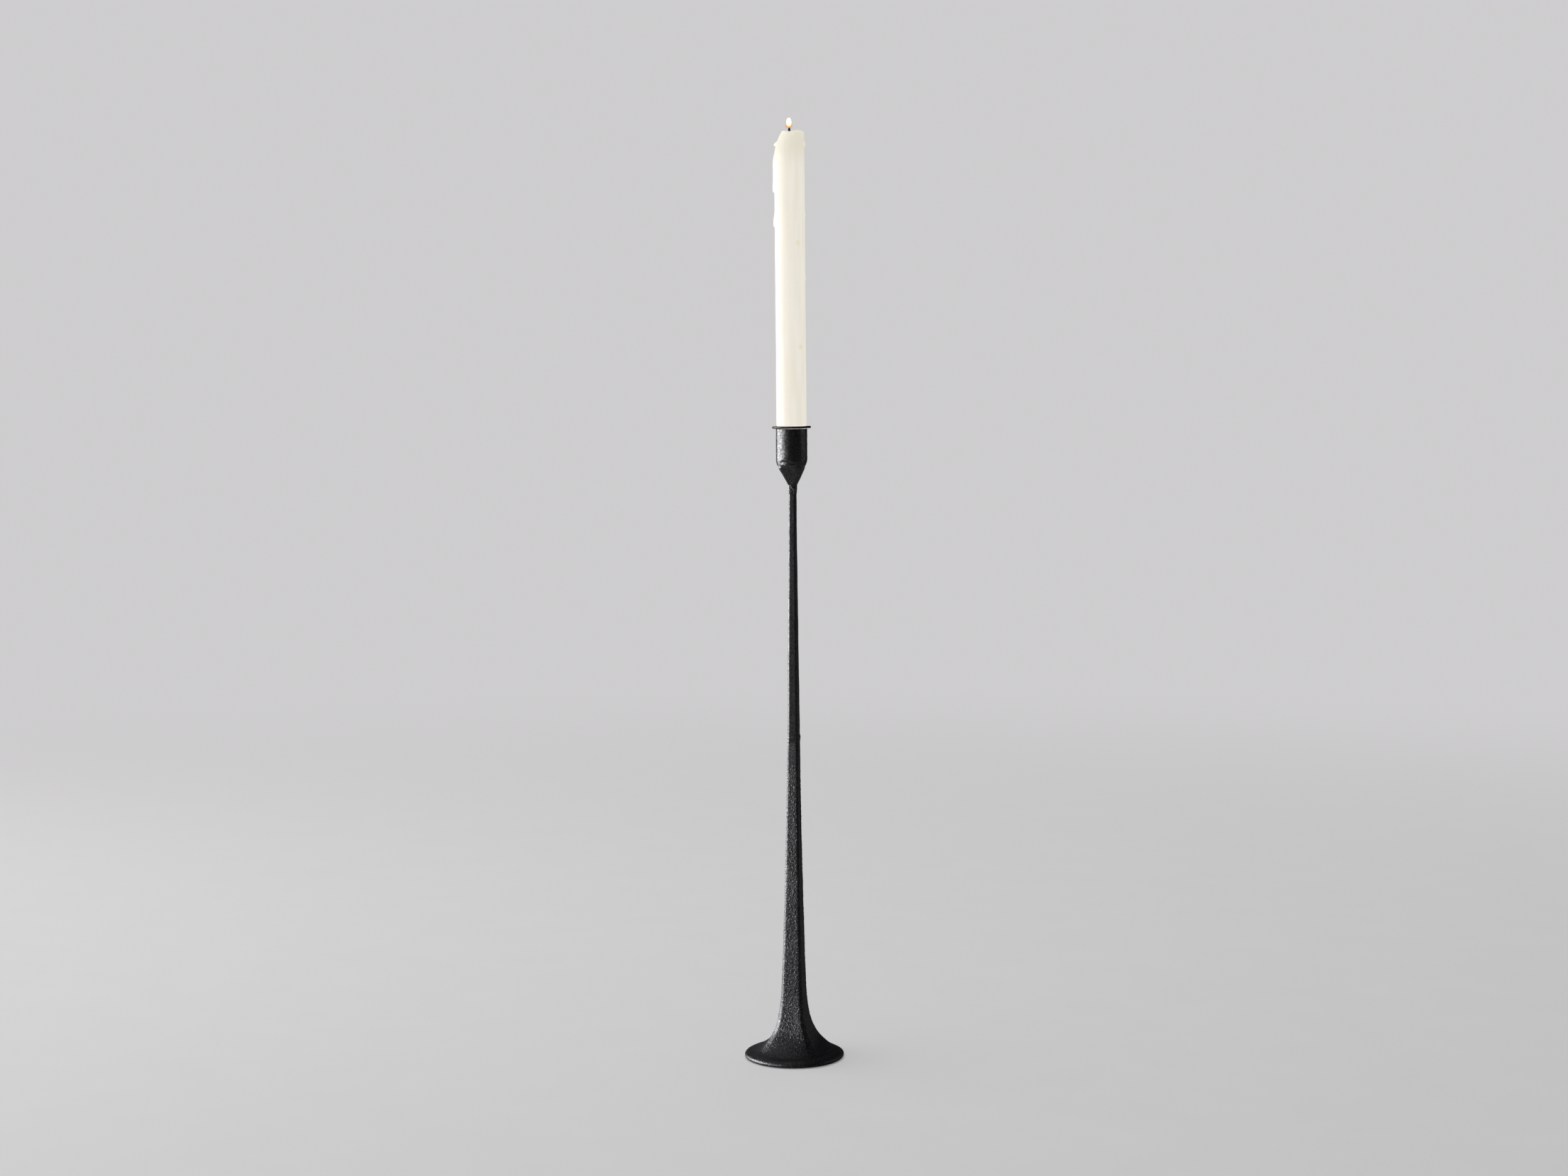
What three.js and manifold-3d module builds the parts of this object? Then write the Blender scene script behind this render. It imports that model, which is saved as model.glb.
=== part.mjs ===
// A hand-forged taper candlestick with its candle: a cast iron foot and lower stem, a forged
// square bar welded on top of it, a swaged candle cup with a flat rim ring, and a dinner candle.
//
// Millimetres, +Z up. The origin is the centre of the felt pad's underside, on the table.
// The front of the candlestick faces -Y.

import * as THREE from 'three';
import { mergeVertices } from 'three/addons/utils/BufferGeometryUtils.js';
import Module from 'manifold-3d';

// ---------------------------------------------------------------- driving dimensions

const HOLDER_HEIGHT = 488; // table to the rim ring's top face
const CANDLE_TOP = 710; // table to the candle's top edge
const WICK_TOP = 714;
const STEM_JOINT = 249; // height of the weld between the casting and the forged bar
const NECK_JOINT = 440; // height of the weld between the bar and the cup

const SECTION_TURN = THREE.MathUtils.degToRad(-15); // the square section is turned to the left
const SEGMENTS = 48; // points round every large section
const FINE_SEGMENTS = 24; // points round the spigot, the tenon and their holes
const CORD_SEGMENTS = 16; // points round the wick and its hole
const CORNER_STEPS = 1; // steps from a corner's diagonal to the edge of its chamfer

const FOOT_RADIUS = 38.5;
const FOOT_EDGE_HEIGHT = 1.9; // height of the widest ring of the foot
const FOOT_UNDERSIDE_RADIUS = 37.5;
const FOOT_TOP_RADIUS = 36.5; // where the rounded edge meets the sloping top
const FOOT_TOP_HEIGHT = 4.1;
const FLARE_BOTTOM = 7.5; // height where the flare's hollow curve meets the sloping top
const FLARE_TOP = 58; // above this height the casting is the plain tapered stem
const FLARE_REACH = 29; // how far the flare would swing out at height 0
const FLARE_FALL = 12; // climbing this far, it comes in by a factor of e
const FLARE_ROUND_TOP = 4; // the section would be round up to this height
const FLARE_SQUARE_BOTTOM = 19; // and it is square from this height up
const FLARE_ROUND_SHARE = 1.15; // the round section's radius, for each millimetre of half side

const FELT_RADIUS = 30;
const FELT_THICKNESS = 1.5;
const FELT_PROUD = 0.5; // how far the felt stands below the iron
const RECESS_CLEARANCE = 0.4;

const CAST_HALF_TOP = 4.3; // half the square stem's side at the stem joint
const CAST_HALF_FOOT = 7.75; // and at CAST_FOOT_HEIGHT
const CAST_FOOT_HEIGHT = 68;
const CAST_TAPER_POWER = 1.3; // above 1, the stem swells faster towards the foot

const BAR_HALF_BOTTOM = 4.15;
const BAR_HALF_TOP = 2.65;

const CUP_RADIUS = 11.9;
const CUP_BORE_RADIUS = 11.1; // a 22 mm (7/8 inch) candle seat
const CUP_BORE_BOTTOM = 462.5;
const CUP_BAND_TOP = 461.5; // height where the pipe starts to draw in
const CUP_BAND_RADIUS = 11; // its radius where the four hammered facets start
const CUP_FACETS_TOP = 457.5;
const CUP_FACETS_HALF = 9.4; // distance from the axis to a facet, at its top
const CUP_LEDGE = 1.5; // height of the step over each facet
const CUP_NECK_HALF = 2.85;
const CUP_FLOOR = 449.5;
const CUP_FLOOR_RADIUS = 2.9;

const RIM_RADIUS = 14.8;
const RIM_THICKNESS = 1.7;

const WELD_BEVEL = 3; // height of each half of a weld's V groove
const STEM_WELD_DEPTH = 1.4;
const STEM_WELD_PROUD = 0.4;
const NECK_WELD_DEPTH = 0.9;
const NECK_WELD_PROUD = 0.2;
const WELD_GAP = 0.3;

const SPIGOT_RADIUS = 2; // the bar's round end, in the casting's socket
const SPIGOT_LENGTH = 12;
const TENON_RADIUS = 1.6; // the bar's riveted end, through the cup's floor
const TENON_HEAD_RADIUS = 2.7;
const TENON_HEAD_HEIGHT = 1.2;
const TENON_HEAD_SHOULDER = 0.8; // the head's edge, as a share of its radius and its height
const FIT_CLEARANCE = 0.2;

const CANDLE_RADIUS = 11.4;
const CANDLE_PLUG_RADIUS = 10.8; // the candle's shaved end, in the cup
const CANDLE_PLUG_BOTTOM = CUP_BORE_BOTTOM + 0.5;
const CANDLE_LIFT_GAP = 0.3; // between the candle's shoulder and the rim
const CANDLE_EDGE_ROUND = 1.5;
const PLUG_CHAMFER = 1;
const BURN_BOTTOM = 688; // the left shoulder has burnt away above this height
const BURN_RADIUS = 41; // radius of the curve that it has burnt to, seen from the front
const POOL_RADIUS = 8.5; // the hollow of the melt pool round the wick
const POOL_DEPTH = 2;
const POOL_SLOPE = 0.7; // where the pool's wall turns into its floor, as a share of both
const WICK_RADIUS = 1;
const WICK_HOLE_RADIUS = 1.3;
const WICK_BOTTOM = CANDLE_PLUG_BOTTOM + 2;

// ---------------------------------------------------------------- materials

const iron = new THREE.MeshStandardMaterial({ color: 0x1d1d1f, roughness: 0.55, metalness: 0.6 });
const castIron = new THREE.MeshStandardMaterial({ color: 0x222224, roughness: 0.65, metalness: 0.5 });
const wax = new THREE.MeshStandardMaterial({ color: 0xf2ede0, roughness: 0.45, metalness: 0 });
const cotton = new THREE.MeshStandardMaterial({ color: 0x2a2420, roughness: 0.95, metalness: 0 });
const felt = new THREE.MeshStandardMaterial({ color: 0x1b1b1c, roughness: 1, metalness: 0 });

// ---------------------------------------------------------------- sections and lofts

const angles = Array.from({ length: SEGMENTS }, (_, i) => (2 * Math.PI * i) / SEGMENTS);

// Half the angle that a chamfer spans, seen from the axis.
const CHAMFER_ANGLE = (CORNER_STEPS * 2 * Math.PI) / SEGMENTS;

// Distance from the axis to a square with chamfered corners, in the direction of angle.
function squareRadius(angle, half) {
  const fromFace = Math.abs(((angle + Math.PI / 4) % (Math.PI / 2)) - Math.PI / 4);
  if (fromFace <= Math.PI / 4 - CHAMFER_ANGLE) return half / Math.cos(fromFace);
  const vertex = half / Math.cos(Math.PI / 4 - CHAMFER_ANGLE);
  return (vertex * Math.cos(CHAMFER_ANGLE)) / Math.cos(Math.PI / 4 - fromFace);
}

const point = (angle, radius, z) =>
  new THREE.Vector3(radius * Math.cos(angle), radius * Math.sin(angle), z);

// One closed section. radiusAt gives the radius for each angle.
const ring = (z, radiusAt) => angles.map((a) => point(a, radiusAt(a), z));
const circle = (z, radius) => ring(z, () => radius);
const square = (z, half) => ring(z, (a) => squareRadius(a, half));

const mix = THREE.MathUtils.lerp;
const steps = (count) => Array.from({ length: count + 1 }, (_, i) => i / count);

// A closed skin over sections of equal length, listed from the bottom up, with both ends capped.
function loft(sections) {
  const around = sections[0].length;
  const points = sections.flat();
  const index = [];
  for (let s = 0; s + 1 < sections.length; s++) {
    for (let i = 0; i < around; i++) {
      const a = s * around + i;
      const b = s * around + ((i + 1) % around);
      index.push(a, b, b + around, a, b + around, a + around);
    }
  }
  const cap = (first, facesUp) => {
    const end = points.slice(first, first + around);
    const middle = end.reduce((sum, p) => sum.add(p), new THREE.Vector3()).divideScalar(around);
    points.push(middle);
    for (let i = 0; i < around; i++) {
      const a = first + i;
      const b = first + ((i + 1) % around);
      index.push(points.length - 1, facesUp ? a : b, facesUp ? b : a);
    }
  };
  cap(0, false);
  cap((sections.length - 1) * around, true);
  return new THREE.BufferGeometry().setFromPoints(points).setIndex(index);
}

// A solid of revolution about Z, from [radius, height] pairs that start and end on the axis
// or close on themselves, listed anticlockwise.
function turned(profile, segments = SEGMENTS) {
  const outline = profile.map(([radius, height]) => new THREE.Vector2(radius, height));
  return new THREE.LatheGeometry(outline, segments).rotateX(Math.PI / 2);
}

const cylinder = (radius, bottom, top, segments = SEGMENTS) =>
  new THREE.CylinderGeometry(radius, radius, top - bottom, segments)
    .rotateX(Math.PI / 2)
    .translate(0, 0, (bottom + top) / 2);

// ---------------------------------------------------------------- booleans

const wasm = await Module();
wasm.setup();

function toSolid(geometry) {
  const bare = geometry.clone().deleteAttribute('normal').deleteAttribute('uv');
  const merged = mergeVertices(bare, 1e-4);
  return new wasm.Manifold(
    new wasm.Mesh({
      numProp: 3,
      vertProperties: merged.attributes.position.array,
      triVerts: new Uint32Array(merged.index.array),
    }),
  );
}

function toGeometry(solid) {
  const mesh = solid.getMesh();
  return new THREE.BufferGeometry()
    .setAttribute('position', new THREE.BufferAttribute(mesh.vertProperties, 3))
    .setIndex(new THREE.BufferAttribute(mesh.triVerts, 1));
}

const cut = (geometry, ...tools) =>
  toGeometry(tools.reduce((solid, tool) => solid.subtract(toSolid(tool)), toSolid(geometry)));

const join = (...geometries) =>
  toGeometry(geometries.map(toSolid).reduce((all, solid) => all.add(solid)));

const common = (one, other) => toGeometry(toSolid(one).intersect(toSolid(other)));

// ---------------------------------------------------------------- the ironwork

// Half the side of the casting's section at a height.
function castHalf(z) {
  const down = (STEM_JOINT - z) / (STEM_JOINT - CAST_FOOT_HEIGHT);
  const taper = mix(CAST_HALF_TOP, CAST_HALF_FOOT, down ** CAST_TAPER_POWER);
  return taper + FLARE_REACH * Math.exp(-z / FLARE_FALL);
}

// The casting's section at a height, square in the stem and round where it meets the foot.
function castSection(z) {
  const half = castHalf(z);
  const squareness = THREE.MathUtils.smoothstep(z, FLARE_ROUND_TOP, FLARE_SQUARE_BOTTOM);
  return ring(z, (a) => mix(half * FLARE_ROUND_SHARE, squareRadius(a, half), squareness));
}

// The foot and lower stem are one casting. Its square stem runs down into four ridges with
// hollow faces between them, and these die away in a round foot with a rounded edge.
function castFoot() {
  const underEdge = steps(3).map((t) => {
    const turn = (t - 1) * (Math.PI / 2);
    return circle(
      FOOT_EDGE_HEIGHT + (FOOT_EDGE_HEIGHT - FELT_PROUD) * Math.sin(turn),
      FOOT_UNDERSIDE_RADIUS + (FOOT_RADIUS - FOOT_UNDERSIDE_RADIUS) * Math.cos(turn),
    );
  });
  const overEdge = steps(4).slice(1).map((t) => {
    const turn = t * (Math.PI / 2);
    return circle(
      FOOT_EDGE_HEIGHT + (FOOT_TOP_HEIGHT - FOOT_EDGE_HEIGHT) * Math.sin(turn),
      FOOT_TOP_RADIUS + (FOOT_RADIUS - FOOT_TOP_RADIUS) * Math.cos(turn),
    );
  });
  const flare = steps(14).map((t) => castSection(mix(FLARE_BOTTOM, FLARE_TOP, t ** 1.5)));
  const grooveBottom = STEM_JOINT - WELD_BEVEL;
  const stem = steps(6).slice(1).map((t) => castSection(mix(FLARE_TOP, grooveBottom, t)));
  const top = square(STEM_JOINT - WELD_GAP / 2, CAST_HALF_TOP - STEM_WELD_DEPTH);

  const recess = cylinder(FELT_RADIUS + RECESS_CLEARANCE, -1, FELT_THICKNESS + RECESS_CLEARANCE);
  const socket = cylinder(
    SPIGOT_RADIUS + FIT_CLEARANCE,
    STEM_JOINT - SPIGOT_LENGTH - 1,
    STEM_JOINT + 1,
    FINE_SEGMENTS,
  );
  return cut(loft([...underEdge, ...overEdge, ...flare, ...stem, top]), recess, socket);
}

// The forged bar, from its spigot in the casting to its riveted tenon in the cup. Local z 0 is
// the stem joint.
function upperStem() {
  const length = NECK_JOINT - STEM_JOINT;
  const bar = loft([
    square(WELD_GAP / 2, BAR_HALF_BOTTOM - STEM_WELD_DEPTH),
    square(WELD_BEVEL, BAR_HALF_BOTTOM),
    square(length - WELD_BEVEL, BAR_HALF_TOP),
    square(length - WELD_GAP / 2, BAR_HALF_TOP - NECK_WELD_DEPTH),
  ]);
  const spigot = cylinder(SPIGOT_RADIUS, -SPIGOT_LENGTH, 1, FINE_SEGMENTS);
  const floor = CUP_FLOOR - STEM_JOINT;
  const tenon = cylinder(TENON_RADIUS, length - 1, floor + 1, FINE_SEGMENTS);
  const headBottom = floor + FIT_CLEARANCE;
  const head = turned(
    [
      [0, headBottom],
      [TENON_HEAD_RADIUS, headBottom],
      [
        TENON_HEAD_RADIUS * TENON_HEAD_SHOULDER,
        headBottom + TENON_HEAD_HEIGHT * TENON_HEAD_SHOULDER,
      ],
      [0, headBottom + TENON_HEAD_HEIGHT],
    ],
    FINE_SEGMENTS,
  );
  return join(bar, spigot, tenon, head);
}

// A bead of weld in the V groove between two square ends, centred on local z 0. lower and upper
// are the half sides below and above the joint, depth is how deep the groove goes, and proud is
// how far the bead's crown stands out of it.
function weldBead(lower, upper, depth, proud) {
  const groove = loft([
    square(-WELD_BEVEL - 1, lower + WELD_GAP),
    square(-WELD_BEVEL, lower + WELD_GAP),
    square(0, (lower + upper) / 2 - depth + WELD_GAP),
    square(WELD_BEVEL, upper + WELD_GAP),
    square(WELD_BEVEL + 1, upper + WELD_GAP),
  ]);
  const bead = loft(
    steps(8).map((t) => {
      const crown = Math.sin(Math.PI * t);
      return square(mix(-WELD_BEVEL, WELD_BEVEL, t), mix(lower, upper, t) + proud * crown);
    }),
  );
  return cut(bead, groove);
}

// A pipe with its lower end hammered down into a four-sided neck. Local z 0 is the neck joint.
function candleCup() {
  const top = HOLDER_HEIGHT - RIM_THICKNESS - FIT_CLEARANCE;
  const pipe = turned([
    [0, NECK_JOINT],
    [CUP_BAND_RADIUS, NECK_JOINT],
    [CUP_BAND_RADIUS, CUP_FACETS_TOP],
    [CUP_RADIUS, CUP_BAND_TOP],
    [CUP_RADIUS, top],
    [0, top],
  ]);
  const hammered = loft([
    square(NECK_JOINT + WELD_GAP / 2, CUP_NECK_HALF - NECK_WELD_DEPTH),
    square(NECK_JOINT + WELD_BEVEL, CUP_NECK_HALF),
    square(CUP_FACETS_TOP, CUP_FACETS_HALF),
    square(CUP_FACETS_TOP + CUP_LEDGE, CUP_RADIUS + 1),
    square(top + 1, CUP_RADIUS + 1),
  ]);
  const bore = turned([
    [0, CUP_FLOOR],
    [CUP_FLOOR_RADIUS, CUP_FLOOR],
    [CUP_BORE_RADIUS, CUP_BORE_BOTTOM],
    [CUP_BORE_RADIUS, top + 1],
    [0, top + 1],
  ]);
  const tenonHole = cylinder(
    TENON_RADIUS + FIT_CLEARANCE,
    NECK_JOINT - 1,
    CUP_FLOOR + 1,
    FINE_SEGMENTS,
  );
  return cut(common(pipe, hammered), bore, tenonHole).translate(0, 0, -NECK_JOINT);
}

// A flat ring with a rounded outer edge, brazed on the pipe's end. Local z 0 is its underside.
function cupRim() {
  const round = RIM_THICKNESS / 2;
  const edge = steps(6).map((t) => {
    const turn = (t - 0.5) * Math.PI;
    return [RIM_RADIUS - round + round * Math.cos(turn), round + round * Math.sin(turn)];
  });
  const inner = CUP_BORE_RADIUS;
  return turned([[inner, 0], ...edge, [inner, RIM_THICKNESS], [inner, 0]]);
}

// ---------------------------------------------------------------- candle and felt

// A dinner candle with a shaved plug, a melt pool and a shoulder that has burnt away on the
// left. Local z 0 is the rim's top face.
function candleBody() {
  const seat = CANDLE_PLUG_BOTTOM - HOLDER_HEIGHT;
  const height = CANDLE_TOP - HOLDER_HEIGHT;
  const topEdge = steps(3).map((t) => {
    const turn = t * (Math.PI / 2);
    return [
      CANDLE_RADIUS - CANDLE_EDGE_ROUND * (1 - Math.cos(turn)),
      height - CANDLE_EDGE_ROUND * (1 - Math.sin(turn)),
    ];
  });
  const body = turned([
    [0, seat],
    [CANDLE_PLUG_RADIUS - PLUG_CHAMFER, seat],
    [CANDLE_PLUG_RADIUS, seat + PLUG_CHAMFER],
    [CANDLE_PLUG_RADIUS, CANDLE_LIFT_GAP],
    [CANDLE_RADIUS, CANDLE_LIFT_GAP],
    ...topEdge,
    [0, height],
  ]);
  const pool = turned([
    [0, height - POOL_DEPTH],
    [POOL_RADIUS * POOL_SLOPE, height - POOL_DEPTH * POOL_SLOPE],
    [POOL_RADIUS, height],
    [POOL_RADIUS, height + 1],
    [0, height + 1],
  ]);
  const wickHole = cylinder(WICK_HOLE_RADIUS, seat - 1, height + 1, CORD_SEGMENTS);
  return cut(body, pool, burntWax(), wickHole);
}

// The wax that has burnt away from the left shoulder: everything left of a curve which starts
// upright on the candle's side and leans in as it rises. Local z 0 is the rim's top face.
function burntWax() {
  const bottom = BURN_BOTTOM - HOLDER_HEIGHT;
  const height = CANDLE_TOP - BURN_BOTTOM + 1;
  const across = 2 * CANDLE_RADIUS + 2;
  const block = new THREE.BoxGeometry(across / 2, across, height).translate(
    -across / 4,
    0,
    bottom + height / 2,
  );
  const kept = new THREE.CylinderGeometry(BURN_RADIUS, BURN_RADIUS, across + 2, 2 * SEGMENTS);
  return cut(block, kept.translate(BURN_RADIUS - CANDLE_RADIUS, 0, bottom));
}

const wickCord = () =>
  cylinder(WICK_RADIUS, WICK_BOTTOM - HOLDER_HEIGHT, WICK_TOP - HOLDER_HEIGHT, CORD_SEGMENTS);

const feltDisc = () => cylinder(FELT_RADIUS, 0, FELT_THICKNESS);

// ---------------------------------------------------------------- assembly

function part(name, geometry, material, z = 0) {
  const mesh = new THREE.Mesh(geometry, material);
  mesh.name = name;
  mesh.position.z = z;
  return mesh;
}

const ironwork = new THREE.Group();
ironwork.rotation.z = SECTION_TURN;
const stemWeld = weldBead(CAST_HALF_TOP, BAR_HALF_BOTTOM, STEM_WELD_DEPTH, STEM_WELD_PROUD);
const neckWeld = weldBead(BAR_HALF_TOP, CUP_NECK_HALF, NECK_WELD_DEPTH, NECK_WELD_PROUD);
ironwork.add(
  part('cast_foot', castFoot(), castIron),
  part('upper_stem', upperStem(), iron, STEM_JOINT),
  part('stem_weld', stemWeld, iron, STEM_JOINT),
  part('neck_weld', neckWeld, iron, NECK_JOINT),
  part('candle_cup', candleCup(), iron, NECK_JOINT),
);

const candle = new THREE.Group();
candle.position.z = HOLDER_HEIGHT;
candle.add(part('candle_wax', candleBody(), wax), part('wick', wickCord(), cotton));

const candlestick = new THREE.Group();
candlestick.add(
  part('felt_pad', feltDisc(), felt),
  ironwork,
  part('cup_rim', cupRim(), iron, HOLDER_HEIGHT - RIM_THICKNESS),
  candle,
);

export default candlestick;
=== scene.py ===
"""A taper candlestick of cast and forged iron with its lit dinner candle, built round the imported
CAD frame.

Shapes are worked out in millimetres and become meshes in metres, +Z up, with the front facing -Y.
The outside profiles of the casting, bar and cup, and the main sizes of every piece, are read from
the CAD. The bore and the marks on the cup and candle stand at heights of their own.
"""

import math

import bpy
import numpy as np
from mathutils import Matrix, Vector, noise
from mathutils.bvhtree import BVHTree


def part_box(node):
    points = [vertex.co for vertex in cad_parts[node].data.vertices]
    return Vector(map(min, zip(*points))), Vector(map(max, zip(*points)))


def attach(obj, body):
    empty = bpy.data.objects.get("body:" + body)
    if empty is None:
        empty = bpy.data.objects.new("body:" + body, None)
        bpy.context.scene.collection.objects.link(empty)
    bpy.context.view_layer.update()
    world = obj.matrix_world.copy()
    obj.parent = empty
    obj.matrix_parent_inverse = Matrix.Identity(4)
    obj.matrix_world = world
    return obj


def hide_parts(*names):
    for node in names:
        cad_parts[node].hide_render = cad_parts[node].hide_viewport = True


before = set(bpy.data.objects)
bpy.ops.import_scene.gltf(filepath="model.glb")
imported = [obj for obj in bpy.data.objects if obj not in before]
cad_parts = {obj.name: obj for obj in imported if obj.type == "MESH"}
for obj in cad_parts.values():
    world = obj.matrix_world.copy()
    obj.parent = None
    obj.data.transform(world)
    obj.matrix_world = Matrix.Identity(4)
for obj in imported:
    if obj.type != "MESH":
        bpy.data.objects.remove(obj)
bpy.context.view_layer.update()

MM = 0.001


def bottom_of(node):
    """A CAD node's lowest height, in millimetres."""
    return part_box(node)[0][2] / MM


def top_of(node):
    """A CAD node's highest height, in millimetres."""
    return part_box(node)[1][2] / MM


def reach_of(node):
    """How far a CAD node reaches to the right of the axis, in millimetres."""
    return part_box(node)[1][0] / MM


# ---------------------------------------------------------------- driving dimensions

RIM_TOP = top_of("cup_rim")
RIM_BOTTOM = bottom_of("cup_rim")
RIM_RADIUS = reach_of("cup_rim")
FOOT_BOTTOM = bottom_of("cast_foot")
STEM_JOINT = (bottom_of("stem_weld") + top_of("stem_weld")) / 2
NECK_JOINT = (bottom_of("neck_weld") + top_of("neck_weld")) / 2
CUP_TOP = top_of("candle_cup")
CANDLE_BOTTOM = bottom_of("candle_wax")
CANDLE_TOP = top_of("candle_wax")
CANDLE_RADIUS = reach_of("candle_wax")
WICK_BOTTOM = bottom_of("wick")
WICK_TOP = top_of("wick")
FELT_BOTTOM = bottom_of("felt_pad")
FELT_RADIUS = reach_of("felt_pad")
FELT_TOP = top_of("felt_pad")

CUP_BORE_RADIUS = 11.1
CUP_BORE_BOTTOM = 462.5  # the bore narrows below this height
CUP_FLOOR_RADIUS = 2.9
CUP_FLOOR = 449.5
SECTION_TURN = math.radians(-15)  # the square iron stands turned to the viewer's left
CHAMFER_REACH = 1.25  # from the axis to a corner's chamfer, for a face at distance 1
CORNER_DIRECTION = SECTION_TURN + math.radians(45)
GRAIN_FADE = 35  # the casting's grain softens over this distance below the stem joint

# Directions round the axis, as seen from the front.
RIGHT = 0.0
FRONT = math.radians(-90)
LEFT = math.pi


# ---------------------------------------------------------------- noise and small maths


def lumps(points, size, shift=0.0):
    """Smooth noise between about -1 and 1 at each point, with lumps about size millimetres wide.
    Each shift gives another pattern."""
    return np.array([noise.noise(p) for p in (points / size + shift).tolist()])


def smooth(low, high, values):
    """0 up to low, 1 from high, with an easy curve between them."""
    t = np.clip((values - low) / (high - low), 0, 1)
    return t * t * (3 - 2 * t)


def hump(values, middle, half_width):
    """1 at middle, falling smoothly to 0 at half_width on either side."""
    t = np.clip(np.abs(values - middle) / half_width, 0, 1)
    return (1 + np.cos(math.pi * t)) / 2


def turn_from(angles, direction):
    """The signed angle from a direction round the axis, between -pi and pi."""
    return (angles - direction + math.pi) % (2 * math.pi) - math.pi


def around(count):
    """Angles at even steps round the axis."""
    return np.arange(count) * (2 * math.pi / count)


def stroke(points, start, end, half_width):
    """1 along a line on the front of the object, falling to 0 at half_width from it. start and
    end are [x, z] as seen from the front."""
    flat = points[:, [0, 2]] - np.array(start)
    along = np.array(end) - np.array(start)
    share = np.clip(flat @ along / (along @ along), 0, 1)
    distance = np.linalg.norm(flat - share[:, None] * along, axis=1)
    return hump(distance, 0, half_width) * (points[:, 1] < 0)


def holder_wander(z):
    """How far the ironwork's axis strays to the right, by height: no forging is quite straight."""
    heights = [0, 8, 20, 34, 53, 118, 184, 249, 265, 300, 420, 440, 448, 458]
    strays = [-0.25, -0.2, 0.0, -0.25, -0.25, 0.05, 0.2, 0.5, 0.65, 0.5, 0.5, 0.7, 0.55, 0.0]
    return np.interp(z, heights, strays)


def candle_lean(z):
    """How far the candle's axis strays to the right, by height: it leans to the left."""
    return -0.75 * np.clip(z - RIM_TOP, 0, None) / (CANDLE_TOP - RIM_TOP)


# ---------------------------------------------------------------- meshes from rings


def ring(angles, radii, z):
    """One ring of points. radii and z are numbers or one value for each angle."""
    heights = np.broadcast_to(z, angles.shape)
    return np.stack([radii * np.cos(angles), radii * np.sin(angles), heights], axis=1)


def band(first, count, second, other_count):
    """Faces between two rings, where one may hold twice as many points as the other."""
    faces = []
    if count == other_count:
        for i in range(count):
            j = (i + 1) % count
            faces.append((first + i, first + j, second + j, second + i))
    elif count > other_count:
        for i in range(other_count):
            a, b, c = first + 2 * i, first + 2 * i + 1, first + (2 * i + 2) % count
            d, e = second + i, second + (i + 1) % other_count
            faces += [(a, b, d), (b, e, d), (b, c, e)]
    else:
        for i in range(count):
            a, b = first + i, first + (i + 1) % count
            c, d, e = second + 2 * i, second + 2 * i + 1, second + (2 * i + 2) % other_count
            faces += [(a, d, c), (a, b, d), (b, e, d)]
    return faces


def smooth_mesh(name, points, faces):
    """A smooth-shaded mesh from points in millimetres."""
    mesh = bpy.data.meshes.new(name)
    mesh.from_pydata((points * MM).tolist(), [], faces)
    mesh.shade_smooth()
    return mesh


def ring_mesh(name, rings):
    """A closed mesh over rings listed along the outline, with each end closed by a fan."""
    bottom = rings[0].mean(axis=0)[None]
    top = rings[-1].mean(axis=0)[None]
    points = np.vstack([bottom, *rings, top])
    counts = [len(r) for r in rings]
    starts = np.concatenate([[1], 1 + np.cumsum(counts)]).tolist()
    count = counts[0]
    faces = [(0, 1 + (i + 1) % count, 1 + i) for i in range(count)]
    for k in range(len(rings) - 1):
        faces += band(starts[k], counts[k], starts[k + 1], counts[k + 1])
    last = starts[-2]
    count = counts[-1]
    faces += [(last + i, last + (i + 1) % count, starts[-1]) for i in range(count)]
    return smooth_mesh(name, points, faces)


def closed_ring_mesh(name, rings):
    """A mesh over rings whose outline closes on itself, like a tyre."""
    count = len(rings[0])
    faces = []
    for k in range(len(rings)):
        faces += band(k * count, count, (k + 1) % len(rings) * count, count)
    return smooth_mesh(name, np.vstack(rings), faces)


def points_of(mesh):
    """A mesh's points, in millimetres."""
    flat = np.empty(len(mesh.vertices) * 3)
    mesh.vertices.foreach_get("co", flat)
    return flat.reshape(-1, 3) / MM


def set_points(mesh, points):
    mesh.vertices.foreach_set("co", (points * MM).ravel())
    mesh.update()


def roughen(mesh, relief):
    """Moves each point along its normal by relief(points) millimetres."""
    points = points_of(mesh)
    normals = np.empty(len(points) * 3)
    mesh.vertex_normals.foreach_get("vector", normals)
    set_points(mesh, points + normals.reshape(-1, 3) * relief(points)[:, None])


def store(mesh, name, values):
    """Keeps one value for each point, for a material to read."""
    stored = mesh.attributes.new(name, "FLOAT", "POINT")
    stored.data.foreach_set("value", values.astype(np.float32))


def piece(mesh, material, body, node=None):
    """An object for a finished mesh, riding on a CAD body and standing for a CAD node."""
    made = bpy.data.objects.new(mesh.name, mesh)
    bpy.context.scene.collection.objects.link(made)
    mesh.materials.append(material)
    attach(made, body)
    if node:
        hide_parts(node)
    return made


# ---------------------------------------------------------------- profiles read from the CAD


def cad_reach(node, direction, heights):
    """How far a CAD node reaches from the axis in one direction, at each height."""
    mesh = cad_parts[node].data
    corners = [v.co / MM for v in mesh.vertices]
    faces = [tuple(p.vertices) for p in mesh.polygons]
    tree = BVHTree.FromPolygons(corners, faces)
    outward = Vector((math.cos(direction), math.sin(direction), 0))
    far = 100.0
    found = []
    for z in heights:
        hit = tree.ray_cast(outward * far + Vector((0, 0, z)), -outward)
        found.append(far - hit[3])
    return np.array(found)


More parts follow.
